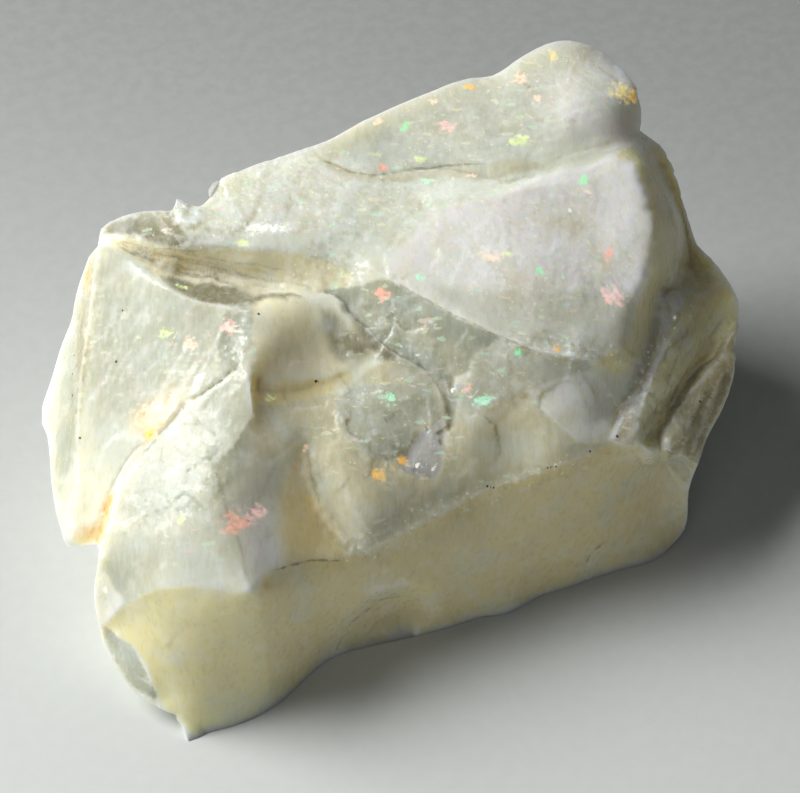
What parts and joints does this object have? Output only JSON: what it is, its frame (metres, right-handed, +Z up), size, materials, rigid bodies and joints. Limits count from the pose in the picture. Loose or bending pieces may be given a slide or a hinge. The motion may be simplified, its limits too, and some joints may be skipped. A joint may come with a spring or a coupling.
{
  "type": "rough opal specimen",
  "caption": "Rough broken lump of milky white precious opal with conchoidal scars, ledges and a flat base that rests on a table.",
  "frame": {"origin": "centre of the bounding box at the height of the flat base", "axes": "+X along the stone's long side, towards its tall square end; +Y towards its back; +Z up"},
  "size_m": [0.0582, 0.0348, 0.0275],
  "materials": {
    "milky_opal": "satin"
  },
  "bodies": {
    "root": {"opal": "milky_opal"}
  },
  "joints": []
}
